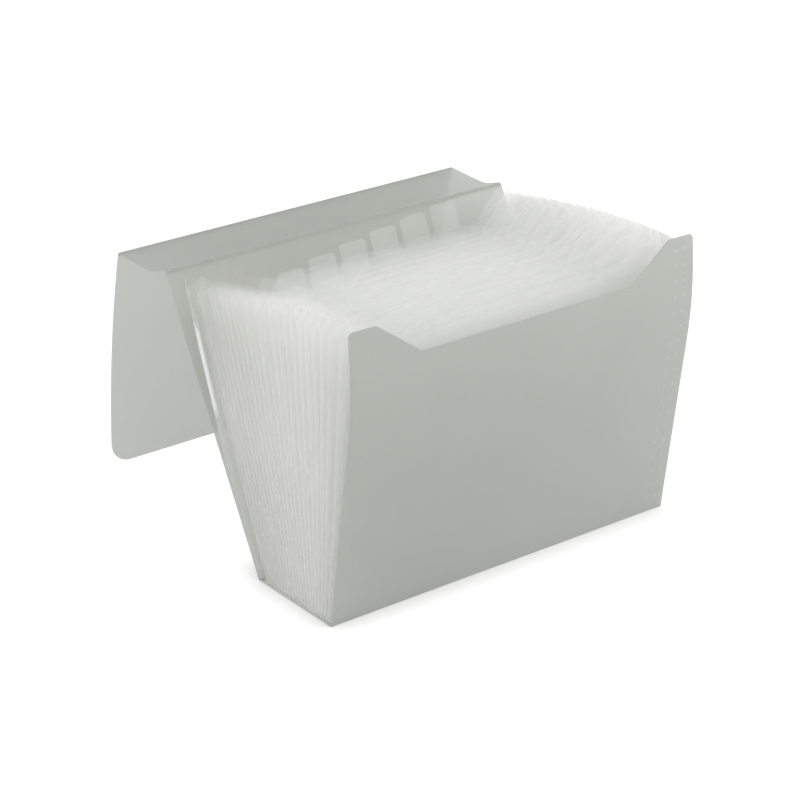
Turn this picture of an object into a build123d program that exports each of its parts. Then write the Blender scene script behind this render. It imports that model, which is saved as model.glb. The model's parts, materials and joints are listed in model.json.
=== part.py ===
"""Expanding file: a folded plastic cover around a fan of pockets with pleated sides, standing open."""

import os
from math import cos, degrees, hypot, radians, sin, sqrt, tan

from build123d import *

# Cover sheet
cover_width = 330.0
cover_thickness = 0.5
base_depth = 85.5
crease_radius = 0.35
crease_gap = 0.3
crease_lift = 0.1

# Front panel: straight and leaning forward below, curling back towards the top
front_height = 234.0
front_straight = 150.0
front_lean = 5.0
front_curl_radius = 325.0
front_corner_radius = 4.0
notch_land = 25.0
notch_shoulder = 65.0
notch_depth = 27.5
notch_corner_radius = 3.0

# Back panel, the spine behind it and the flap that hangs from the spine
back_height = 239.0
back_lean = 30.8
spine_length = 62.0
spine_tilt = 20.0
spine_turn = 21.0
spine_turn_start = 13.0
spine_turn_length = 14.0
flap_length = 183.0
flap_tilt = 9.4
flap_turn = 12.5
flap_corner_radius = 17.0

# Pockets: dividers hinge on the pleated floor and fan out from the front panel to the back panel
pocket_count = 13
fan_front_lean = 2.8
fan_back_lean = 26.0
fan_ease = 0.35
divider_thickness = 0.5
divider_height = 236.0
divider_dip = 22.0
divider_land = 12.0
divider_shoulder = 40.0
divider_corner_radius = 5.0
divider_bead_radius = 0.4
hinge_gap = 0.3

# Index tabs, stepped across the dividers in rows
tab_columns = 7
tab_margin = 16.0
tab_width = 25.0
tab_rise = 22.0
tab_overlap = 8.0
tab_thickness = 0.3
tab_corner_radius = 4.0

# Pleated sides, with two outer folds to a pocket, and pleated floor
last_fold_join = 70.0
last_fold_slope = 0.175
last_fold_rest = 1.0
gusset_depth = 14.5
gusset_inset = 0.5
gusset_thickness = 0.25
gusset_top_drop = 6.0
weld_gap = 0.3
curl_steps = 2
floor_thickness = 0.25
floor_pleat_height = 1.2

# Places worked out from the sizes above
pocket_pitch = base_depth / pocket_count
crease_height = crease_radius + crease_lift
crease_clear = crease_radius + crease_gap
front_crease = (-base_depth / 2, crease_height)
back_crease = (base_depth / 2, crease_height)
outer_fold_x = cover_width / 2 - gusset_inset
inner_fold_x = outer_fold_x - gusset_depth
divider_width = 2 * (inner_fold_x - weld_gap)
tab_pitch = (divider_width - 2 * tab_margin - tab_width) / (tab_columns - 1)
floor_top = cover_thickness + floor_thickness + floor_pleat_height
divider_axis_z = floor_top + hinge_gap + divider_bead_radius


def step(start, heading, length):
    """The point a length away from a start, with the heading in degrees from +Y towards +Z."""
    return (start[0] + length * cos(radians(heading)), start[1] + length * sin(radians(heading)))


def bend(start, heading, length, turn):
    """An arc in the YZ plane that leaves its start on a heading and turns by an angle over its length."""
    direction = (cos(radians(heading)), sin(radians(heading)))
    return JernArc(start, direction, length / radians(abs(turn)), turn)


def sheet(path, thickness, width):
    """A sheet of even thickness that follows a path in the YZ plane."""
    return extrude(Plane.YZ * trace(path, thickness), width / 2, both=True)


def bead(centre, radius, width):
    """The rounded edge of a sheet, on its hinge axis."""
    return Pos(0, *centre) * Rot(0, 90, 0) * Cylinder(radius, width)


def front_panel():
    """The front of the cover, with rounded corners and a wide notch in its top edge."""
    lower_top = step(front_crease, 90 + front_lean, front_straight)
    curl_length = front_height - front_straight + front_corner_radius
    path = [Line(front_crease, lower_top)]
    path += [bend(lower_top, 90 + front_lean, curl_length, -degrees(curl_length / front_curl_radius))]
    top = front_height + crease_height
    side = cover_width / 2
    half = [
        (side, -crease_height),
        (side, top),
        (side - notch_land, top),
        (side - notch_shoulder, top - notch_depth),
    ]
    other_half = [(-x, z) for x, z in reversed(half)]
    outline = make_face(Polyline(*half, *other_half, close=True))
    corners = outline.vertices().sort_by(Axis.Y)
    outline = fillet(corners[-4:], front_corner_radius)
    floor_corners = [v for v in outline.vertices() if abs(v.Y - top + notch_depth) < crease_gap]
    outline = fillet(floor_corners, notch_corner_radius)
    prism = extrude(Plane.XZ * outline, front_height, both=True)
    return (sheet(path, cover_thickness, cover_width) & prism) + bead(front_crease, crease_radius, cover_width)


def base_panel():
    """The bottom of the cover, on which the file stands."""
    depth = base_depth - 2 * crease_clear
    return Pos(0, 0, cover_thickness / 2) * Box(cover_width, depth, cover_thickness)


def back_panel():
    """The back of the cover, leaning on the fanned pockets."""
    path = Line(back_crease, step(back_crease, 90 - back_lean, back_height - crease_clear))
    return sheet(path, cover_thickness, cover_width) + bead(back_crease, crease_radius, cover_width)


def spine_path(crease, end_gap):
    """The middle of the spine: down from the back panel, round a soft bend and on to the flap."""
    turn_start = step(crease, -spine_tilt, spine_turn_start)
    turn = bend(turn_start, -spine_tilt, spine_turn_length, spine_turn)
    turn_end = ((turn @ 1).X, (turn @ 1).Y)
    rest = spine_length - spine_turn_start - spine_turn_length - end_gap
    end = step(turn_end, spine_turn - spine_tilt, rest)
    return [Line(crease, turn_start), turn, Line(turn_end, end)]


def flap_spine(crease):
    """The strip between the back panel and the flap, sagging between its two creases."""
    path = spine_path(crease, crease_clear)
    return sheet(path, cover_thickness, cover_width) + bead(crease, crease_radius, cover_width)


def flap_panel(crease):
    """The closing flap, bowed outwards as it hangs, with two rounded corners."""
    path = bend(crease, flap_tilt - 90, flap_length, -flap_turn)
    panel = sheet(path, cover_thickness, cover_width)
    ends = panel.edges().filter_by(lambda e: abs(e.length - cover_thickness) < crease_lift)
    panel = fillet(ends.sort_by(Axis.Z)[:2], flap_corner_radius)
    return panel + bead(crease, crease_radius, cover_width)


def lean(index):
    """How far a divider leans back, in degrees. Index 0 is the front of the fan, which opens widest there."""
    share = index / (pocket_count - 1)
    spread = share * (1 + fan_ease * (1 - share))
    return -fan_front_lean + (fan_back_lean + fan_front_lean) * spread


def divider_axis(index):
    """The Y place of a divider's bottom edge."""
    return -base_depth / 2 + pocket_pitch * index


def stand(piece, index):
    """Sets a piece drawn upright on its hinge axis at its place in the fan."""
    return Pos(0, divider_axis(index), divider_axis_z) * Rot(-lean(index), 0, 0) * piece


def divider(index):
    """One pocket wall, lower between its two corners, with a rounded bottom edge on its hinge axis."""
    side = divider_width / 2
    half = [
        (side, 0),
        (side, divider_height),
        (side - divider_land, divider_height),
        (side - divider_shoulder, divider_height - divider_dip),
    ]
    other_half = [(-x, z) for x, z in reversed(half)]
    outline = make_face(Polyline(*half, *other_half, close=True))
    outline = fillet(outline.vertices().sort_by(Axis.Y)[2:], divider_corner_radius)
    plate = extrude(Plane.XZ * outline, divider_thickness / 2, both=True)
    return stand(plate + bead((0, 0), divider_bead_radius, divider_width), index)


def index_tab(index):
    """The tab welded to the back of a divider, one place further right on each divider."""
    edge = divider_height - divider_dip
    outline = Pos(0, edge + (tab_rise - tab_overlap) / 2) * Rectangle(tab_width, tab_rise + tab_overlap)
    outline = fillet(outline.vertices().sort_by(Axis.Y)[-2:], tab_corner_radius)
    plate = extrude(Plane.XZ * outline, tab_thickness / 2, both=True)
    column = index % tab_columns
    across = tab_margin + column * tab_pitch + (tab_width - divider_width) / 2
    return stand(Pos(across, (divider_thickness + tab_thickness) / 2, 0) * plate, index)


def front_face_y(height):
    """The Y place of the front panel's middle at a height above the floor."""
    start_y, start_z = step(front_crease, 90 + front_lean, front_straight)
    if height <= start_z:
        return front_crease[0] - (height - crease_height) * tan(radians(front_lean))
    centre_y, centre_z = step((start_y, start_z), front_lean, front_curl_radius)
    return centre_y - sqrt(front_curl_radius**2 - (height - centre_z) ** 2)


def back_face_y(height):
    """The Y place of the back panel's middle at a height above the floor."""
    return back_crease[0] + (height - crease_height) * tan(radians(back_lean))


def divider_y(index, height):
    """The Y place of a divider's middle at a height above the floor."""
    return divider_axis(index) + (height - divider_axis_z) * tan(radians(lean(index)))


def pocket_folds(index, height, front, back):
    """The Y places of the folds of one pocket's side at a height, behind the pocket's front wall."""
    if index == 0:
        shares = [1 / 3, 2 / 3, 1]
    elif index < pocket_count - 1:
        shares = [1 / 4, 2 / 4, 3 / 4, 1]
    else:
        off_panel = max(last_fold_rest, last_fold_slope * (height - last_fold_join))
        return [back - off_panel, back]
    return [front + (back - front) * share for share in shares]


def pleats(height):
    """The zigzag of one pleated side, cut level at a height, as a closed face."""
    stand_off = cover_thickness / 2 + weld_gap
    lines = [front_face_y(height) + stand_off / cos(radians(front_lean))]
    lines += [divider_y(index, height) for index in range(1, pocket_count)]
    lines += [back_face_y(height) - stand_off / cos(radians(back_lean))]
    places = lines[:1]
    for index in range(pocket_count):
        places += pocket_folds(index, height, lines[index], lines[index + 1])
    steps = [after - before for before, after in zip(places, places[1:])]
    wing_spans = [gusset_thickness * hypot(gusset_depth, length) / length for length in steps]
    pairs = zip(wing_spans[:1] + wing_spans, wing_spans + wing_spans[-1:])
    spans = [(before + after) / 2 for before, after in pairs]
    inner_side = []
    outer_side = []
    for number, (y, span) in enumerate(zip(places, spans)):
        is_inner = number % 2 == 1
        inner_side.append((inner_fold_x if is_inner else outer_fold_x - span, y))
        outer_side.append((inner_fold_x + span if is_inner else outer_fold_x, y))
    return Plane.XY.offset(height) * make_face(Polyline(*inner_side, *reversed(outer_side), close=True))


def right_gusset():
    """The pleated right side: one strip that zigzags past every divider edge, cut to the fan's curve."""
    curl_start = step(front_crease, 90 + front_lean, front_straight)[1]
    top = divider_axis_z + divider_height
    heights = [cover_thickness + weld_gap, last_fold_join + last_fold_rest / last_fold_slope]
    heights += [curl_start + (top - curl_start) * n / curl_steps for n in range(curl_steps + 1)]
    strip = loft([pleats(height) for height in heights], ruled=True)
    reach = divider_height - gusset_top_drop
    leans = [(index, 90 - lean(index)) for index in range(pocket_count)]
    crown = [step((divider_axis(index), divider_axis_z), heading, reach) for index, heading in leans]
    crown.append(step(back_crease, 90 - back_lean, reach))
    start = (front_face_y(top) - divider_height, crown[0][1])
    end = (crown[-1][0] + divider_height, crown[-1][1])
    under = Polyline((start[0], -top), start, *crown, end, (end[0], -top), close=True)
    return strip & extrude(Plane.YZ * make_face(under), cover_width)


def pocket_floor():
    """The pleated floor: a fold up under every divider and a valley in every pocket."""
    low = cover_thickness + floor_thickness / 2
    high = low + floor_pleat_height
    folds = [
        (-base_depth / 2 + pocket_pitch / 2 * (n + 1), high if n % 2 else low)
        for n in range(2 * pocket_count - 1)
    ]
    upper = [(y, z + floor_thickness / 2) for y, z in folds]
    lower = [(y, z - floor_thickness / 2) for y, z in reversed(folds)]
    profile = make_face(Polyline(*upper, *lower, close=True))
    return extrude(Plane.YZ * profile, divider_width / 2, both=True)


def main():
    """Builds every piece and writes one file for each."""
    spine_crease = step(back_crease, 90 - back_lean, back_height)
    spine_end = spine_path(spine_crease, 0)[-1] @ 1
    flap_crease = (spine_end.X, spine_end.Y)
    gusset = right_gusset()
    pieces = {
        "front_panel": front_panel(),
        "base_panel": base_panel(),
        "back_panel": back_panel(),
        "flap_spine": flap_spine(spine_crease),
        "flap_panel": flap_panel(flap_crease),
        "pocket_floor": pocket_floor(),
        "right_gusset": gusset,
        "left_gusset": mirror(gusset, about=Plane.YZ),
    }
    for index in range(1, pocket_count):
        pieces[f"divider_{index:02d}"] = divider(index)
        pieces[f"index_tab_{index:02d}"] = index_tab(index)
    os.makedirs("parts", exist_ok=True)
    for name, piece in pieces.items():
        export_step(piece, f"parts/{name}.step")
    drop = hypot(flap_crease[0] - spine_crease[0], flap_crease[1] - spine_crease[1])
    print("spine crease", spine_crease, "flap crease", flap_crease, "apart", drop)


if __name__ == "__main__":
    main()
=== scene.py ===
"""Looks for the standing expanding file: frosted sheet, pleated film sides, studio and camera."""

import json
import logging
from dataclasses import dataclass, field, replace
from enum import Enum
from functools import reduce
from math import cos, pi, radians, sin, sqrt, tan
from typing import Any, Optional, Union

import bmesh
import bpy
from mathutils import Matrix, Vector

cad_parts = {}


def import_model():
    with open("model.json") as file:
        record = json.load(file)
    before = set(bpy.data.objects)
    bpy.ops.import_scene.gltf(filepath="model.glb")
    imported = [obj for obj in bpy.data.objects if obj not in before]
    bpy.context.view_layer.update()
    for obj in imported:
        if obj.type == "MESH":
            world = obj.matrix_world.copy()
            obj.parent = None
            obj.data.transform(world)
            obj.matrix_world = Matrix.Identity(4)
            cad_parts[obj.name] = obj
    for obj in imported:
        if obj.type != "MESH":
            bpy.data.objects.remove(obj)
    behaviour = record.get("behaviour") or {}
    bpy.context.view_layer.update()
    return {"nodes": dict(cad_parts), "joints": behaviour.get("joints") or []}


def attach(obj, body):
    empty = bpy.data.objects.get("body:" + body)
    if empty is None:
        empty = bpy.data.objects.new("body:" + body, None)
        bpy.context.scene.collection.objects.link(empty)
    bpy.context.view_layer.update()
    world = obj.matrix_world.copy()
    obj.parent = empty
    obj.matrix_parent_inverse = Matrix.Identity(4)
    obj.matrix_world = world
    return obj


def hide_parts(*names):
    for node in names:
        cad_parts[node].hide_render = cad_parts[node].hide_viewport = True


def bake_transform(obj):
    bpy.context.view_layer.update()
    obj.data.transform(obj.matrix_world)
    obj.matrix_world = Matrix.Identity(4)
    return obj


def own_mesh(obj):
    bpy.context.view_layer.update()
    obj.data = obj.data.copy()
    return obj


LOG = logging.getLogger("expanding_file")
Triple = tuple[float, float, float]
Span = tuple[float, float]
Axes = dict[str, tuple[float, float]]
Number = Union[float, "Signal"]
WHITE: Triple = (1.0, 1.0, 1.0)


class Side(Enum):
    """The two pleated sides of the file, by the sign of their X."""

    LEFT = -1
    RIGHT = 1

    @property
    def label(self) -> str:
        """The side's word in the names of its pieces."""
        return self.name.lower()

    @property
    def node(self) -> str:
        """The solid that the pleats of this side stand for."""
        return f"{self.label}_gusset"


class Slot(Enum):
    """The record's material slots."""

    COVER = "cover"
    FILM = "film"


class Graph:
    """A node tree that is filled from Python expressions."""

    def __init__(self, tree: bpy.types.NodeTree) -> None:
        """Takes over a tree and empties it.

        Args:
            tree: The node tree of a material or of the world.
        """
        self.tree = tree
        self.tree.nodes.clear()

    def add(self, kind: str, settings: Optional[dict[str, Any]] = None, **sockets: Any) -> bpy.types.Node:
        """Adds any node, sets it up and feeds its sockets.

        Args:
            kind: The node's type name.
            settings: Properties of the node, set before its sockets.
            sockets: Values or signals by input name, with spaces as underscores, or by "i" and a number.

        Returns:
            The new node.
        """
        node = self.tree.nodes.new(kind)
        for key, value in (settings or {}).items():
            setattr(node, key, value)
        for key, value in sockets.items():
            place = int(key[1:]) if key[0] == "i" and key[1:].isdigit() else key.replace("_", " ")
            self.feed(node.inputs[place], value)
        return node

    def feed(self, target: bpy.types.NodeSocket, value: Any) -> None:
        """Links a signal to an input, or sets the input's own value.

        Args:
            target: The input socket.
            value: A signal or a plain value.
        """
        if isinstance(value, Signal):
            self.tree.links.new(value.socket, target)
        elif target.type == "RGBA" and len(value) == 3:
            target.default_value = (*value, 1.0)
        else:
            target.default_value = value

    def signal(self, kind: str, output: Union[str, int] = 0, settings: Optional[dict[str, Any]] = None,
               **sockets: Any) -> "Signal":
        """Adds a node and wraps one of its outputs.

        Args:
            kind: The node's type name.
            output: The output's name or number.
            settings: Properties of the node.
            sockets: Inputs, as for add.

        Returns:
            The wrapped output.
        """
        return Signal(self, self.add(kind, settings, **sockets).outputs[output])

    def mix(self, share: Number, first: Any, second: Any) -> "Signal":
        """Blends two colours.

        Args:
            share: How much of the second colour.
            first: The colour at 0.
            second: The colour at 1.

        Returns:
            The blended colour.
        """
        return self.signal("ShaderNodeMix", 2, {"data_type": "RGBA"}, i0=share, i6=first, i7=second)

    def blend(self, share: Number, first: "Signal", second: "Signal") -> "Signal":
        """Blends two shaders.

        Args:
            share: How much of the second shader.
            first: The shader at 0.
            second: The shader at 1.

        Returns:
            The blended shader.
        """
        return self.signal("ShaderNodeMixShader", i0=share, i1=first, i2=second)


@dataclass(frozen=True)
class Signal:
    """One output socket that takes part in arithmetic."""

    graph: Graph
    socket: bpy.types.NodeSocket

    def math(self, operation: str, *terms: Number) -> "Signal":
        """Adds a Math node.

        Args:
            operation: The node's operation.
            terms: Its inputs in order.

        Returns:
            The node's value.
        """
        inputs = {f"i{number}": term for number, term in enumerate(terms)}
        return self.graph.signal("ShaderNodeMath", 0, {"operation": operation}, **inputs)

    def __add__(self, other: Number) -> "Signal":
        """Sum."""
        return self.math("ADD", self, other)

    __radd__ = __add__

    def __sub__(self, other: Number) -> "Signal":
        """Difference."""
        return self.math("SUBTRACT", self, other)

    def __rsub__(self, other: Number) -> "Signal":
        """Difference, with the signal on the right."""
        return self.math("SUBTRACT", other, self)

    def __mul__(self, other: Number) -> "Signal":
        """Product."""
        return self.math("MULTIPLY", self, other)

    __rmul__ = __mul__

    def __truediv__(self, other: Number) -> "Signal":
        """Quotient."""
        return self.math("DIVIDE", self, other)

    def __rtruediv__(self, other: Number) -> "Signal":
        """Quotient, with the signal on the right."""
        return self.math("DIVIDE", other, self)

    def __abs__(self) -> "Signal":
        """Size without sign."""
        return self.math("ABSOLUTE", self)

    def root(self) -> "Signal":
        """Square root."""
        return self.math("SQRT", self)

    def highest(self, other: Number) -> "Signal":
        """The larger of two values."""
        return self.math("MAXIMUM", self, other)

    def lowest(self, other: Number) -> "Signal":
        """The smaller of two values."""
        return self.math("MINIMUM", self, other)

    def off_grid(self, pitch: float) -> "Signal":
        """How far a value lies from the nearest multiple of a pitch."""
        return abs(self - self.math("SNAP", self + pitch / 2, pitch))

    def ramp(self, low: Number, high: Number) -> "Signal":
        """0 at the low value, 1 at the high value, smooth between.

        Args:
            low: The value that gives 0.
            high: The value that gives 1; it may be the smaller one.

        Returns:
            The share.
        """
        style = {"interpolation_type": "SMOOTHSTEP"}
        return self.graph.signal("ShaderNodeMapRange", 0, style, i0=self, i1=low, i2=high, i3=0.0, i4=1.0)

    def noise(self, scale: float, detail: float) -> "Signal":
        """Noise along one line, the same wherever the signal is the same.

        Args:
            scale: Waves for each unit of the signal.
            detail: How many finer layers are added.

        Returns:
            A value about 0.5.
        """
        return self.graph.signal(
            "ShaderNodeTexNoise", "Fac", {"noise_dimensions": "1D"}, W=self, Scale=scale, Detail=detail,
        )


@dataclass(frozen=True)
class Spot:
    """The point of a surface that is being shaded, in the file's own frame."""

    graph: Graph
    whole: Signal
    across: Signal
    back: Signal
    up: Signal

    @classmethod
    def read(cls, graph: Graph) -> "Spot":
        """Reads the point from the object's coordinates.

        Args:
            graph: The material's nodes.

        Returns:
            The point, whole and by axis.
        """
        whole = graph.signal("ShaderNodeTexCoord", "Object")
        axes = graph.add("ShaderNodeSeparateXYZ", Vector=whole).outputs
        return cls(graph, whole, *(Signal(graph, axes[name]) for name in "XYZ"))

    def noise(self, scale: float, detail: float) -> Signal:
        """Noise over the surface.

        Args:
            scale: Waves for each metre.
            detail: How many finer layers are added.

        Returns:
            A value about 0.5.
        """
        return self.graph.signal("ShaderNodeTexNoise", "Fac", Vector=self.whole, Scale=scale, Detail=detail)


@dataclass(frozen=True)
class Tone:
    """The colours of one sort of sheet: its own, of its clouds, of its marks and of what it lets past."""

    colour: Triple
    cloud: Triple
    mark: Triple
    clear: Triple


GRAY = Tone((0.722, 0.729, 0.706), (0.740, 0.747, 0.724), (0.90, 0.91, 0.885), (0.90, 0.905, 0.888))
DENSE_GRAY = replace(
    GRAY, colour=(0.625, 0.638, 0.603), cloud=(0.641, 0.654, 0.619), mark=(0.735, 0.745, 0.715),
)
WORN_GRAY = replace(GRAY, colour=(0.800, 0.806, 0.785), cloud=(0.820, 0.826, 0.805))
# The mark colour of this tone is the near-white of the painted glint highlight.
MILKY = Tone((0.972, 0.974, 0.965), (0.980, 0.9815, 0.973), (0.985, 0.985, 0.98), (0.9925, 0.993, 0.991))
# The cloud colour of this tone serves both the faint clouds and the painted shade at the dividers' corners.
MILKY_CLOUD_AND_SHADE = replace(MILKY, cloud=(0.860, 0.862, 0.853))
# The cloud colour of this tone serves the streaks, the back of the fan and the painted shade at the top; its
# mark colour serves the pale fold lines, which are partly painted highlight.
PLEATED_MILKY = replace(MILKY, colour=(0.986, 0.986, 0.981), cloud=(0.800, 0.800, 0.794))


@dataclass(frozen=True)
class Fan:
    """Where the walls of the pockets stand, in metres and degrees."""

    pockets: int
    base_depth: float
    hinge_height: float
    crease_height: float
    front_lean: float = 5.0
    front_straight: float = 0.150
    front_curl: float = 0.325
    first_lean: float = -2.8
    last_lean: float = 26.0
    ease: float = 0.35
    back_lean: float = 30.8
    divider_height: float = 0.236
    reach: float = 0.230
    last_fold_join: float = 0.070
    last_fold_slope: float = 0.175
    last_fold_rest: float = 0.001
    stand_off: float = 0.00027
    closed_quarter: float = 0.00104

    @classmethod
    def from_axes(cls, axes: Axes) -> "Fan":
        """Takes the fan's main sizes from the joints.

        Args:
            axes: The Y and Z of each joint's axis, by the joint's name.

        Returns:
            The fan.
        """
        dividers = [place for name, place in axes.items() if name.startswith("divider")]
        front, back = axes["front_panel_hinge"], axes["back_panel_hinge"]
        return cls(len(dividers) + 1, back[0] - front[0], dividers[0][1], back[1])

    def lean(self, place: float) -> float:
        """How far a wall leans back, in degrees; place 0 is the front of the fan.

        Args:
            place: A place counted in pockets, also between two walls.

        Returns:
            The lean, which grows most near the front, and up to the back panel's behind the last divider.
        """
        last = self.pockets - 1
        if place > last:
            return self.last_lean + (self.back_lean - self.last_lean) * (place - last)
        share = place / last
        eased = share * (1.0 + self.ease * (1.0 - share))
        return self.first_lean + (self.last_lean - self.first_lean) * eased

    def hinge_y(self, place: float) -> float:
        """The Y of a wall's bottom edge."""
        return -self.base_depth / 2 + self.base_depth * place / self.pockets

    def front_y(self, height: float) -> float:
        """The Y of the front panel's middle: straight at first, and then curled outwards.

        Args:
            height: Height above the floor.

        Returns:
            The Y place.
        """
        slope = radians(self.front_lean)
        start_y = -self.base_depth / 2 - self.front_straight * sin(slope)
        start_z = self.crease_height + self.front_straight * cos(slope)
        if height <= start_z:
            return -self.base_depth / 2 - (height - self.crease_height) * tan(slope)
        centre_y = start_y + self.front_curl * cos(slope)
        centre_z = start_z + self.front_curl * sin(slope)
        return centre_y - sqrt(self.front_curl**2 - (height - centre_z) ** 2)

    def wall_y(self, index: int, height: float) -> float:
        """The Y of a wall's inner face or middle at a height.

        Args:
            index: 0 for the front panel, the pocket count for the back panel, a divider between.
            height: Height above the floor.

        Returns:
            The Y place.
        """
        if index == 0:
            return self.front_y(height) + self.stand_off
        if index == self.pockets:
            slope = radians(self.back_lean)
            rise = height - self.crease_height
            return self.base_depth / 2 + rise * tan(slope) - self.stand_off / cos(slope)
        return self.hinge_y(index) + (height - self.hinge_height) * tan(radians(self.lean(index)))

    def last_share(self, height: float) -> float:
        """Where the last pocket's outer fold lies, as a share of the pocket's depth.

        Args:
            height: Height above the floor.

        Returns:
            Nearly 1 low down, where the fold rests on the back panel, and less where it has left it.
        """
        depth = self.wall_y(self.pockets, height) - self.wall_y(self.pockets - 1, height)
        away = max(self.last_fold_rest, self.last_fold_slope * (height - self.last_fold_join))
        return 1.0 - away / depth

    def top(self, place: float) -> float:
        """The height of the pleats' top edge at a place in the fan."""
        return self.hinge_height + self.reach * cos(radians(self.lean(place)))

    def crest(self, index: int) -> tuple[float, float]:
        """The Y and Z of a divider's top corners."""
        lean, length = radians(self.lean(index)), self.divider_height
        return self.hinge_y(index) + length * sin(lean), self.hinge_height + length * cos(lean)

    def crown(self, back: Signal) -> Signal:
        """The height of the dividers' corners, as a parabola through the first, middle and last one.

        Args:
            back: The Y of a point.

        Returns:
            The height there.
        """
        first, middle, last = (self.crest(index) for index in (1, self.pockets // 2, self.pockets - 1))
        slope = (middle[1] - first[1]) / (middle[0] - first[0])
        bend = ((last[1] - middle[1]) / (last[0] - middle[0]) - slope) / (last[0] - first[0])
        return first[1] + (back - first[0]) * (slope + bend * (back - middle[0]))


@dataclass(frozen=True)
class SheetFinish:
    """Frosted translucent plastic sheet."""

    name: str
    tone: Tone
    clear: float
    through: float
    roughness: float = 0.42
    gloss: float = 0.35
    refraction: float = 1.49
    mark_cover: float = 0.0
    mark_depth: float = 0.00012
    cloud_scale: float = 14.0
    cloud_detail: float = 3.0
    cloud_limits: Span = (0.3, 0.7)
    cloud_rough: float = 0.08
    grain_scale: float = 1500.0
    grain_detail: float = 2.0
    grain_height: float = 0.00002
    grain_rough: float = 0.12
    bump_strength: float = 0.6

    def marks(self, spot: Spot) -> Optional[Signal]:
        """The lighter marks on the sheet, from 0 to 1. A plain sheet has none."""
        return None

    def clearness(self, spot: Spot) -> Number:
        """The share of the light that goes straight through. A plain sheet has one value."""
        return self.clear

    def clouds(self, spot: Spot) -> Signal:
        """The slow change of tone over the sheet, from 0 to 1."""
        return spot.noise(self.cloud_scale, self.cloud_detail).ramp(*self.cloud_limits)

    def material(self) -> bpy.types.Material:
        """Makes the sheet's material.

        Returns:
            A material that sends part of the light back and lets part of it through.
        """
        made = bpy.data.materials.new(self.name)
        made.use_nodes = True
        graph = Graph(made.node_tree)
        spot = Spot.read(graph)
        cloud = self.clouds(spot)
        grain = spot.noise(self.grain_scale, self.grain_detail)
        colour = graph.mix(cloud, self.tone.colour, self.tone.cloud)
        rough = self.roughness + self.grain_rough * (grain - 0.5) + self.cloud_rough * (cloud - 0.5)
        height = grain * self.grain_height
        solid: Number = 1.0
        marks = self.marks(spot)
        if marks is not None:
            colour = graph.mix(marks, colour, self.tone.mark)
            height = height - marks * self.mark_depth
            if self.mark_cover:
                solid = 1.0 - marks * self.mark_cover
        bump = graph.signal(
            "ShaderNodeBump", "Normal", Strength=self.bump_strength, Distance=1.0, Height=height,
        )
        face = graph.signal(
            "ShaderNodeBsdfPrincipled", Base_Color=colour, Roughness=rough, Normal=bump,
            Specular_IOR_Level=self.gloss, IOR=self.refraction,
        )
        behind = graph.signal("ShaderNodeBsdfTranslucent", Color=self.tone.colour)
        haze = graph.blend(solid * self.through, face, behind)
        window = graph.signal("ShaderNodeBsdfTransparent", Color=self.tone.clear)
        sheet = graph.blend(solid * self.clearness(spot), haze, window)
        graph.add("ShaderNodeOutputMaterial", Surface=sheet)
        return made


@dataclass(frozen=True)
class WeldedFrontFinish(SheetFinish):
    """Cover sheet with two columns of spot welds along each side edge."""

    weld_columns: Span = (0.1563, 0.1473)
    weld_pitch: float = 0.0125
    weld_rim: Span = (0.00156, 0.00084)
    weld_faint: float = 0.15
    weld_sides: Span = (-0.1, 0.1)

    def marks(self, spot: Spot) -> Optional[Signal]:
        """Small round welds at an even pitch up each side, fainter on the left.

        Args:
            spot: The point of the sheet.

        Returns:
            The strength of the weld there.
        """
        up = spot.up.off_grid(self.weld_pitch)
        asides = [abs(spot.across) - column for column in self.weld_columns]
        dots = [(aside * aside + up * up).root().ramp(*self.weld_rim) for aside in asides]
        strength = self.weld_faint + (1.0 - self.weld_faint) * spot.across.ramp(*self.weld_sides)
        return reduce(Signal.highest, dots) * strength


@dataclass(frozen=True)
class ScoredFinish(SheetFinish):
    """Cover sheet with pale score lines beside its crease."""

    scores: tuple[float, ...] = (0.1682, 0.1776)
    score_rim: Span = (0.0006, 0.00024)

    def marks(self, spot: Spot) -> Optional[Signal]:
        """Thin pale lines across the whole width."""
        lines = [abs(spot.back - score).ramp(*self.score_rim) for score in self.scores]
        return reduce(Signal.highest, lines)


@dataclass(frozen=True)
class FilmFinish(SheetFinish):
    """Milky film, thinner and smoother than the cover."""

    through: float = 0.62
    roughness: float = 0.34


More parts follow.
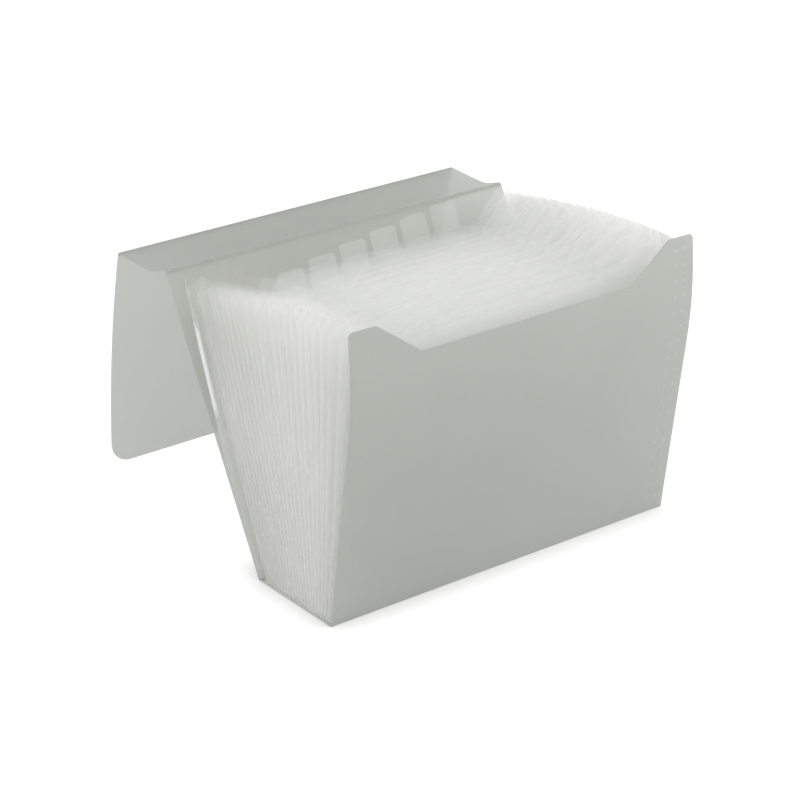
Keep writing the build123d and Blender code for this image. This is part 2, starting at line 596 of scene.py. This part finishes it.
@dataclass(frozen=True)
class LeafFinish(FilmFinish):
    """Divider film that looks thinner at its top edge, most of all at the left corners of the rear rows."""

    fan: Fan = field(kw_only=True)
    edge_clear: float = 0.85
    corner_clear: float = 0.98
    fade: float = 0.016
    corner_fade: Span = (0.012, 0.026)
    left_end: Span = (-0.05, -0.12)
    rear_rows: Span = (0.055, 0.095)
    front_share: float = 0.45
    corner_height: Span = (0.160, 0.200)
    corner_gray: float = 0.8
    cloud_share: float = 0.12
    dip: float = 0.022
    dip_end: float = 0.1377
    shoulder: float = 0.040

    def clearness(self, spot: Spot) -> Number:
        """Clearest along the top edge, which follows the fan's crown and dips between two shoulders.

        Args:
            spot: The point of the film.

        Returns:
            The share of the light that goes straight through.
        """
        dip = ((self.dip_end - abs(spot.across)) / self.shoulder).highest(0.0).lowest(1.0) * self.dip
        rear = self.front_share + (1.0 - self.front_share) * spot.back.ramp(*self.rear_rows)
        left = spot.across.ramp(*self.left_end) * rear
        edge = self.edge_clear + (self.corner_clear - self.edge_clear) * left
        start = self.corner_fade[0] * left
        end = self.fade + (self.corner_fade[1] - self.fade) * left
        return edge + (self.clear - edge) * (self.fan.crown(spot.back) - dip - spot.up).ramp(start, end)

    def clouds(self, spot: Spot) -> Signal:
        """Faint clouds, and painted shade: a grayer tone at the top left corners of the front rows, where
        the film is lit less.

        Args:
            spot: The point of the film.

        Returns:
            The share of the gray tone.
        """
        front = 1.0 - spot.back.ramp(*self.rear_rows)
        corner = spot.across.ramp(*self.left_end) * front * spot.up.ramp(*self.corner_height)
        # Painted shade: the corner share grays the film where less light reaches it.
        return super().clouds(spot) * self.cloud_share + self.corner_gray * corner


@dataclass(frozen=True)
class TabFinish(FilmFinish):
    """Tab film, clearer on the front rows."""

    front_clear: float = 0.965
    rear_rows: Span = (0.055, 0.070)

    def clearness(self, spot: Spot) -> Number:
        """Clear in front, where the pile of dividers stands behind the tab."""
        return self.front_clear + (self.clear - self.front_clear) * spot.back.ramp(*self.rear_rows)


@dataclass(frozen=True)
class PleatFinish(FilmFinish):
    """Film with pale lines along its folds, partly whitened film and partly painted highlight, streaked
    along them and with painted shade at its top.
    """

    fan_foot: Span = (-0.035, -0.157)
    fan_spread: Span = (0.05, 0.42)
    front_spread: float = 0.5
    top: Span = (0.100, 0.215)
    top_clear: float = 0.97
    top_gray: float = 0.55
    back_fan: Span = (0.21, 0.42)
    back_gray: float = 0.55
    right_side: Span = (-0.05, 0.05)
    right_haze: float = 0.30
    streak_scale: float = 30.0
    streak_detail: float = 2.0
    streak_limits: Span = (0.35, 0.65)
    streak_gray: float = 0.28
    band_scale: float = 16.0
    band_start: float = 7.0
    band_haze: float = 0.03
    line_scale: float = 60.0
    line_detail: float = 1.0
    line_start: float = 3.0
    fold: float = 0.1645
    fold_width: float = 0.0035

    def slope(self, spot: Spot) -> Signal:
        """The place in the fan, the same all along one fold: the folds would meet below the floor."""
        return (spot.back - self.fan_foot[0]) / (spot.up - self.fan_foot[1])

    def clearness(self, spot: Spot) -> Number:
        """Clearest on the left at the top of the back folds, which are spread the most.

        Args:
            spot: The point of the film.

        Returns:
            The share of the light that goes straight through.
        """
        slope = self.slope(spot)
        spread = slope.ramp(*self.fan_spread) * (1.0 - self.front_spread) + self.front_spread
        right = spot.across.ramp(*self.right_side)
        bands = (slope + self.band_start).noise(self.band_scale, self.streak_detail)
        haze = self.right_haze * right + self.band_haze * bands.ramp(*self.streak_limits)
        high = spot.up.ramp(*self.top) * spread * (1.0 - right)
        return self.clear + (self.top_clear - self.clear) * high - haze

    def marks(self, spot: Spot) -> Optional[Signal]:
        """Pale lines along the outer folds, partly whitened film and partly painted highlight, some stronger
        than others.

        Args:
            spot: The point of the film.

        Returns:
            The strength of the line there.
        """
        # Partly painted highlight: the pale fold lines stand in part for light caught on the folds.
        line = abs(abs(spot.across) - self.fold).ramp(self.fold_width, 0.0)
        noise = (self.slope(spot) + self.line_start).noise(self.line_scale, self.line_detail)
        return line * noise.ramp(*self.streak_limits)

    def clouds(self, spot: Spot) -> Signal:
        """Streaks that run along the folds, painted shade that grays the top, and a grayer tone at the back
        of the fan.

        Args:
            spot: The point of the film.

        Returns:
            The share of the gray tone.
        """
        slope = self.slope(spot)
        streaks = slope.noise(self.streak_scale, self.streak_detail).ramp(*self.streak_limits)
        behind = slope.ramp(*self.back_fan) * self.back_gray
        # Painted shade: the top of the film is grayed against the stronger light from above.
        high = spot.up.ramp(*self.top) * self.top_gray
        return (streaks * self.streak_gray + behind + high).lowest(1.0)


@dataclass(frozen=True)
class GlintFinish(FilmFinish):
    """Film with a painted highlight, a glint, along one fold."""

    top: Span = (0.10, 0.17)
    top_clear: float = 0.90
    fold: float = 0.1640
    fold_rim: Span = (0.0030, 0.0010)
    low_end: Span = (0.108, 0.122)
    high_end: Span = (0.180, 0.168)

    def clearness(self, spot: Spot) -> Number:
        """Clearer at the top, where the fold stands off the back panel."""
        return self.clear + (self.top_clear - self.clear) * spot.up.ramp(*self.top)

    def marks(self, spot: Spot) -> Optional[Signal]:
        """A painted highlight: a bright line along the outer fold, fading out at both ends."""
        # Painted highlight: near-white marks stand for the shine of the light on this fold.
        line = abs(abs(spot.across) - self.fold).ramp(*self.fold_rim)
        return line * spot.up.ramp(*self.low_end) * spot.up.ramp(*self.high_end)


@dataclass(frozen=True)
class Finishes:
    """Every finish of the file, made once."""

    front: bpy.types.Material
    cover: bpy.types.Material
    spine: bpy.types.Material
    base: bpy.types.Material
    crease: bpy.types.Material
    worn_crease: bpy.types.Material
    leaf: bpy.types.Material
    pleat: bpy.types.Material
    glint: bpy.types.Material
    tab: bpy.types.Material

    @classmethod
    def make(cls, fan: Fan) -> "Finishes":
        """Makes the materials.

        Args:
            fan: The fan whose crown the divider film follows.

        Returns:
            The set of finishes.
        """
        return cls(
            front=WeldedFrontFinish("frosted_front_sheet", DENSE_GRAY, clear=0.05, through=0.30).material(),
            cover=SheetFinish("frosted_cover_sheet", GRAY, clear=0.40, through=0.60).material(),
            spine=ScoredFinish(
                "scored_cover_sheet", GRAY, clear=0.40, through=0.60, mark_cover=0.5,
            ).material(),
            base=SheetFinish("frosted_base_sheet", GRAY, clear=0.0, through=0.10).material(),
            crease=SheetFinish("pressed_crease", GRAY, clear=0.05, through=0.30).material(),
            worn_crease=SheetFinish("whitened_crease", WORN_GRAY, clear=0.30, through=0.60).material(),
            leaf=LeafFinish("pocket_film", MILKY_CLOUD_AND_SHADE, clear=0.60, fan=fan).material(),
            pleat=PleatFinish("pleat_film", PLEATED_MILKY, clear=0.79, mark_cover=0.04).material(),
            # The glint finish paints a highlight along the last pocket's outer fold.
            glint=GlintFinish("worn_pleat_film", MILKY, clear=0.74, mark_cover=0.95).material(),
            tab=TabFinish("tab_film", MILKY, clear=0.86).material(),
        )


def finished_piece(made: bmesh.types.BMesh, name: str, finish: bpy.types.Material) -> bpy.types.Object:
    """Turns a bmesh into an object with one finish.

    Args:
        made: The shape, which is freed.
        name: The name of the piece.
        finish: Its material.

    Returns:
        The object, linked to the scene.
    """
    mesh = bpy.data.meshes.new(name)
    made.to_mesh(mesh)
    made.free()
    mesh.materials.append(finish)
    piece = bpy.data.objects.new(name, mesh)
    bpy.context.scene.collection.objects.link(piece)
    return piece


def thicken(made: bmesh.types.BMesh, thickness: float) -> None:
    """Gives an open sheet its thickness, with all faces outwards.

    Args:
        made: The sheet.
        thickness: How thick it gets.
    """
    bmesh.ops.recalc_face_normals(made, faces=made.faces[:])
    bmesh.ops.solidify(made, geom=made.faces[:], thickness=thickness)
    bmesh.ops.recalc_face_normals(made, faces=made.faces[:])


@dataclass(frozen=True)
class Fold:
    """One fold line of a pleated side."""

    pocket: int
    share: float
    outer: bool
    layer: int

    @property
    def place(self) -> float:
        """The fold's place in the fan, counted in pockets."""
        return self.pocket + self.share

    @property
    def free(self) -> bool:
        """True for a fold that lies between the pocket's two walls."""
        return 0.0 < self.share < 1.0


@dataclass(frozen=True)
class Wave:
    """One wave of the film: its size, its turn for each pocket, its start and its half turns up a fold."""

    size: float
    turn: float
    start: float
    rise: float

    def at(self, place: float, rise: float) -> float:
        """The wave's height at a place in the fan and a share of the fold's length."""
        return self.size * sin(self.turn * place + self.start + self.rise * rise * pi)


@dataclass
class PleatedSide:
    """One pleated side: a film wing between each two neighbouring folds."""

    side: Side
    fan: Fan
    finish: bpy.types.Material
    last_finish: bpy.types.Material
    outer_x: float = 0.1645
    inner_x: float = 0.1497
    inner_bottom: float = 0.0023
    outer_bottom: float = 0.0013
    first_fold_rest: float = 0.0020
    free_fold_gap: float = 0.0006
    thickness: float = 0.00025
    levels: int = 12
    sway: float = 0.0003
    waves: tuple[Wave, ...] = (Wave(1.0, 2.1, 0.0, 3.0), Wave(0.6, 5.3, 1.0, 1.7))
    outer_drop: float = 0.008
    flat_keep: float = 0.02

    def folds(self, pocket: int) -> list[Fold]:
        """The folds of one pocket, from its front wall to its back wall.

        Args:
            pocket: The pocket's number, from 0 at the front.

        Returns:
            Four folds for the first pocket, three for the last and five for the others.
        """
        if pocket == 0:
            return [Fold(pocket, n / 3, n % 2 == 0, n) for n in range(4)]
        if pocket == self.fan.pockets - 1:
            share = self.fan.last_share(self.fan.reach)
            return [Fold(pocket, 0.0, False, 0), Fold(pocket, share, True, 1), Fold(pocket, 1.0, False, 4)]
        return [Fold(pocket, n / 4, n % 2 == 1, n) for n in range(5)]

    def share(self, fold: Fold, height: float, depth: float) -> float:
        """Where a fold lies between its pocket's walls.

        Args:
            fold: The fold.
            height: Height above the floor.
            depth: The pocket's depth there.

        Returns:
            0 at the front wall and 1 at the back wall.
        """
        if fold.free and fold.pocket == self.fan.pockets - 1:
            return self.fan.last_share(height)
        if fold.pocket == 0 and fold.layer == 1:
            return min(fold.share, self.first_fold_rest / depth)
        return fold.share

    def point(self, fold: Fold, rise: float) -> Vector:
        """A point on a fold line.

        Args:
            fold: The fold.
            rise: 0 at the bottom and 1 at the top.

        Returns:
            The point in the row frame.
        """
        top = self.fan.top(fold.place) - self.outer_drop * fold.outer
        bottom = self.outer_bottom if fold.outer else self.inner_bottom
        height = bottom + (top - bottom) * rise
        front = self.fan.wall_y(fold.pocket, height)
        depth = self.fan.wall_y(fold.pocket + 1, height) - front
        across = self.outer_x if fold.outer else self.inner_x + self.free_fold_gap * fold.free
        if fold.free:
            swing = sum(wave.at(fold.place, rise) for wave in self.waves)
            across += self.sway * rise * swing - self.sway * fold.outer
        return Vector((self.side.value * across, front + depth * self.share(fold, height, depth), height))

    def wing(self, pocket: int, number: int, near: Fold, far: Fold) -> bpy.types.Object:
        """Builds one wing between two folds.

        Args:
            pocket: The pocket it belongs to.
            number: Its number in the pocket.
            near: The fold at its front.
            far: The fold at its back.

        Returns:
            The wing's object.
        """
        made = bmesh.new()
        ends = [made.verts.new(self.point(fold, 0.0)) for fold in (near, far)]
        edge = made.edges.new(ends)
        for level in range(1, self.levels + 1):
            grown = bmesh.ops.extrude_edge_only(made, edges=[edge])["geom"]
            copies = [part for part in grown if isinstance(part, bmesh.types.BMVert)]
            start = ends[0].co.copy()
            ends = sorted(copies, key=lambda vert, start=start: (vert.co - start).length)
            for vert, fold in zip(ends, (near, far)):
                vert.co = self.point(fold, level / self.levels)
            edge = made.edges.get(ends)
        thicken(made, self.thickness)
        finish = self.last_finish if pocket == self.fan.pockets - 1 else self.finish
        return finished_piece(made, f"{self.side.label}_pleat_{pocket + 1:02d}_{number + 1}", finish)

    def flatten(self, piece: bpy.types.Object, wall: int, near: Fold, far: Fold, base_layer: int) -> None:
        """Works out the plane a wing would fold flat into beside its wall as the fan closes, and gives the
        wing its own mesh; the wing's shape is not changed.

        Args:
            piece: The wing.
            wall: The wall it moves with.
            near: The fold at its front.
            far: The fold at its back.
            base_layer: The layer that lies on the wall.
        """
        lean = radians(self.fan.back_lean if wall == self.fan.pockets else self.fan.lean(wall))
        foot = self.fan.wall_y(wall, self.fan.hinge_height)
        away = Vector((0.0, cos(lean), -sin(lean)))
        spots = []
        for fold in (near, far):
            layers = fold.layer - base_layer
            across = self.side.value * (self.outer_x if fold.outer else self.inner_x)
            corner = Vector((across, foot, self.fan.hinge_height))
            spots.append(corner + away * layers * self.fan.closed_quarter)
        rising = Vector((0.0, sin(lean), cos(lean)))
        normal = (spots[1] - spots[0]).cross(rising).normalized()
        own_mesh(piece)

    def hang(self, piece: bpy.types.Object, number: int, folds: list[Fold]) -> None:
        """Makes a wing move with its nearer wall and, unless that is the front panel, works out how it would
        lie flat on it.

        Args:
            piece: The wing.
            number: Its number in the pocket.
            folds: The pocket's folds.
        """
        middle = (len(folds) - 2) / 2
        base = folds[0] if number < middle else folds[-1]
        wall = base.pocket + round(base.share)
        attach(piece, {0: "front", self.fan.pockets: "back"}.get(wall, f"leaf_{wall:02d}"))
        if wall > 0:
            self.flatten(piece, wall, folds[number], folds[number + 1], base.layer)

    def build(self) -> None:
        """Builds every wing and hangs it on its wall."""
        for pocket in range(self.fan.pockets):
            folds = self.folds(pocket)
            for number, (near, far) in enumerate(zip(folds, folds[1:])):
                piece = self.wing(pocket, number, near, far)
                self.hang(piece, number, folds)
                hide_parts(self.side.node)
                LOG.info("%s: %s", piece.name, piece.data.materials[0].name)


@dataclass(frozen=True)
class Crease:
    """A fold of the cover between two bodies, with the headings of its two arms in the YZ plane."""

    name: str
    first: str
    second: str
    joint: str
    first_heading: float
    second_heading: float
    thickness: float = 0.00064
    height: Optional[float] = None
    worn: bool = False


@dataclass
class CoverCreases:
    """The pressed strips along the folds of the cover."""

    axes: Axes
    finish: bpy.types.Material
    worn_finish: bpy.types.Material
    width: float = 0.3292
    arm: float = 0.0026
    steps: int = 4
    creases: tuple[Crease, ...] = (
        Crease("front_crease", "base", "front", "front_panel_hinge", 0.0, 95.0, 0.00058, 0.00029),
        Crease("back_crease", "base", "back", "back_panel_hinge", 180.0, 59.2, 0.00058, 0.00029),
        Crease("spine_crease", "back", "spine", "flap_spine_hinge", 239.2, -20.0, worn=True),
        Crease("flap_crease", "spine", "flap", "flap_hinge", 181.0, -80.7, worn=True),
    )

    def arm_point(self, crease: Crease, heading: float, length: float) -> Vector:
        """A point at the left end of a strip.

        Args:
            crease: The fold that the strip lies on.
            heading: The way to go from the fold's corner, in degrees.
            length: How far to go.

        Returns:
            The point in the row frame.
        """
        corner_y, corner_z = self.axes[crease.joint]
        if crease.height is not None:
            corner_z = crease.height
        turn = radians(heading)
        return Vector((-self.width / 2, corner_y + length * cos(turn), corner_z + length * sin(turn)))

    def path(self, crease: Crease) -> list[Vector]:
        """The left edge of a strip, along one arm to the corner and out along the other.

        Args:
            crease: The fold that the strip lies on.

        Returns:
            The points in order.
        """
        lengths = [self.arm * n / self.steps for n in range(self.steps + 1)]
        first = [self.arm_point(crease, crease.first_heading, length) for length in reversed(lengths)]
        return first + [self.arm_point(crease, crease.second_heading, length) for length in lengths[1:]]

    def strip(self, crease: Crease) -> bpy.types.Object:
        """Builds one strip, bent along the two arms of its fold.

        Args:
            crease: The fold it lies on.

        Returns:
            The strip's object.
        """
        path = self.path(crease)
        made = bmesh.new()
        verts = [made.verts.new(point) for point in path]
        edges = [made.edges.new(pair) for pair in zip(verts, verts[1:])]
        grown = bmesh.ops.extrude_edge_only(made, edges=edges)["geom"]
        far = [part for part in grown if isinstance(part, bmesh.types.BMVert)]
        bmesh.ops.translate(made, verts=far, vec=(self.width, 0.0, 0.0))
        thicken(made, crease.thickness)
        middle = sum((vert.co for vert in made.verts), Vector()) / len(made.verts)
        wanted = sum(path, Vector()) / len(path)
        bmesh.ops.translate(made, verts=made.verts[:], vec=(0.0, wanted.y - middle.y, wanted.z - middle.z))
        piece = finished_piece(made, crease.name, self.worn_finish if crease.worn else self.finish)
        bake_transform(piece)
        return piece

    def build(self) -> None:
        """Builds the strips."""
        for crease in self.creases:
            piece = self.strip(crease)
            LOG.info("%s: %s", piece.name, piece.data.materials[0].name)


@dataclass
class FileBody:
    """The solids that keep their shape: cover panels, dividers, tabs and floor."""

    nodes: dict[str, bpy.types.Object]
    finishes: Finishes

    def finish_for(self, name: str) -> bpy.types.Material:
        """The finish of a solid.

        Args:
            name: The solid's node.

        Returns:
            The finish of its sort of piece, or else the cover's.
        """
        sorts = {
            "front_panel": self.finishes.front,
            "base_panel": self.finishes.base,
            "flap_spine": self.finishes.spine,
            "divider": self.finishes.leaf,
            "pocket_floor": self.finishes.leaf,
            "index_tab": self.finishes.tab,
        }
        return next((finish for sort, finish in sorts.items() if name.startswith(sort)), self.finishes.cover)

    def dress(self) -> None:
        """Gives every solid its finish."""
        for name, solid in sorted(self.nodes.items()):
            solid.data.materials.clear()
            solid.data.materials.append(self.finish_for(name))
            LOG.info("%s: %s", name, solid.data.materials[0].name)


@dataclass(frozen=True)
class Lamp:
    """A large soft square lamp: its name, power in watts, side in metres and place."""

    name: str
    energy: float
    size: float
    place: Triple


@dataclass
class Studio:
    """Plain pale floor, soft light and the camera."""

    floor_half: float = 12.0
    floor_drop: float = 0.0001
    floor_colour: Triple = (0.86, 0.86, 0.86)
    floor_glow: float = 1.25
    contact_reach: float = 0.03
    contact_depth: float = 0.22
    contact_samples: int = 8
    sky_strength: float = 0.68
    lamps: tuple[Lamp, ...] = (
        Lamp("key", 9.0, 1.6, (1.5, -1.0, 1.8)),
        Lamp("side", 2.2, 0.5, (0.7, -0.5, 0.5)),
        Lamp("fill", 10.0, 1.4, (-1.7, 0.25, 0.5)),
    )
    lamp_aim: Triple = (0.0, 0.05, 0.1)
    lens: float = 128.96
    sensor: float = 36.0
    camera_place: Triple = (-1.2928, -1.44495, 1.0284)
    camera_right: Triple = (0.774, -0.632, 0.036)
    camera_up: Triple = (0.244, 0.350, 0.904)
    light_bounces: int = 20
    diffuse_bounces: int = 12
    clear_layers: int = 64

    @staticmethod
    def seen(graph: Graph, *rays: str) -> Signal:
        """1 for the rays that see the background, and 0 for those that light the file.

        Args:
            graph: The nodes to add to.
            rays: The Light Path outputs to look at.

        Returns:
            The share.
        """
        path = graph.add("ShaderNodeLightPath").outputs
        return reduce(Signal.highest, [Signal(graph, path[ray]) for ray in rays])

    def sky(self) -> None:
        """White surroundings: soft light for the file and a white view for the camera."""
        world = bpy.data.worlds.new("studio")
        world.use_nodes = True
        bpy.context.scene.world = world
        graph = Graph(world.node_tree)
        seen = self.seen(graph, "Is Camera Ray", "Is Glossy Ray", "Is Transmission Ray")
        strength = self.sky_strength + (1.0 - self.sky_strength) * seen
        light = graph.signal("ShaderNodeBackground", Color=WHITE, Strength=strength)
        graph.add("ShaderNodeOutputWorld", Surface=light)

    def floor(self) -> None:
        """A white floor with a painted contact shadow close to the file, where an ambient-occlusion term
        cuts its glow; its matt part keeps the real shadow.
        """
        made = bmesh.new()
        bmesh.ops.create_grid(made, x_segments=1, y_segments=1, size=self.floor_half)
        bmesh.ops.translate(made, verts=made.verts[:], vec=(0.0, 0.0, -self.floor_drop))
        finish = bpy.data.materials.new("studio_white")
        finish.use_nodes = True
        graph = Graph(finish.node_tree)
        matt = graph.signal("ShaderNodeBsdfDiffuse", Color=self.floor_colour)
        glow = graph.signal("ShaderNodeEmission", Color=WHITE, Strength=self.floor_glow)
        # Painted shadow: ambient occlusion darkens the floor's glow close to the file.
        near = graph.signal(
            "ShaderNodeAmbientOcclusion", "AO", {"samples": self.contact_samples},
            Distance=self.contact_reach,
        )
        share = self.seen(graph, "Is Camera Ray", "Is Glossy Ray") * (near - self.contact_depth)
        graph.add("ShaderNodeOutputMaterial", Surface=graph.blend(share, matt, glow))
        finished_piece(made, "studio_floor", finish)

    def hang(self, lamp: Lamp) -> None:
        """Hangs one lamp that points at the file.

        Args:
            lamp: The lamp.
        """
        data = bpy.data.lights.new(lamp.name, "AREA")
        data.energy = lamp.energy
        data.size = lamp.size
        holder = bpy.data.objects.new(lamp.name, data)
        place = Vector(lamp.place)
        turn = (Vector(self.lamp_aim) - place).to_track_quat("-Z", "Y").to_matrix().to_4x4()
        holder.matrix_world = Matrix.Translation(place) @ turn
        bpy.context.scene.collection.objects.link(holder)

    def camera(self) -> None:
        """The camera at the photograph's angle."""
        data = bpy.data.cameras.new("camera")
        data.lens = self.lens
        data.sensor_width = self.sensor
        holder = bpy.data.objects.new("camera", data)
        right = Vector(self.camera_right).normalized()
        up = Vector(self.camera_up)
        up = (up - right * up.dot(right)).normalized()
        turn = Matrix((right, up, right.cross(up))).transposed().to_4x4()
        holder.matrix_world = Matrix.Translation(self.camera_place) @ turn
        bpy.context.scene.collection.objects.link(holder)
        bpy.context.scene.camera = holder

    def build(self) -> None:
        """Sets up the studio, with enough bounces for many layers of film."""
        scene = bpy.context.scene
        scene.view_settings.view_transform = "Standard"
        scene.cycles.max_bounces = self.light_bounces
        scene.cycles.diffuse_bounces = self.diffuse_bounces
        scene.cycles.transmission_bounces = self.light_bounces
        scene.cycles.transparent_max_bounces = self.clear_layers
        self.sky()
        self.floor()
        for lamp in self.lamps:
            self.hang(lamp)
        self.camera()
        LOG.info("studio: floor, sky, %d lamps and camera", len(self.lamps))


def main() -> None:
    """Dresses the file and sets it in the studio."""
    logging.basicConfig(level=logging.INFO, format="%(name)s %(message)s")
    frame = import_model()
    axes = {joint["name"]: tuple(joint["pos_m"][1:]) for joint in frame["joints"]}
    fan = Fan.from_axes(axes)
    finishes = Finishes.make(fan)
    FileBody(frame["nodes"], finishes).dress()
    for side in Side:
        PleatedSide(side, fan, finishes.pleat, finishes.glint).build()
    CoverCreases(axes, finishes.crease, finishes.worn_crease).build()
    Studio().build()


if __name__ == "__main__":
    main()
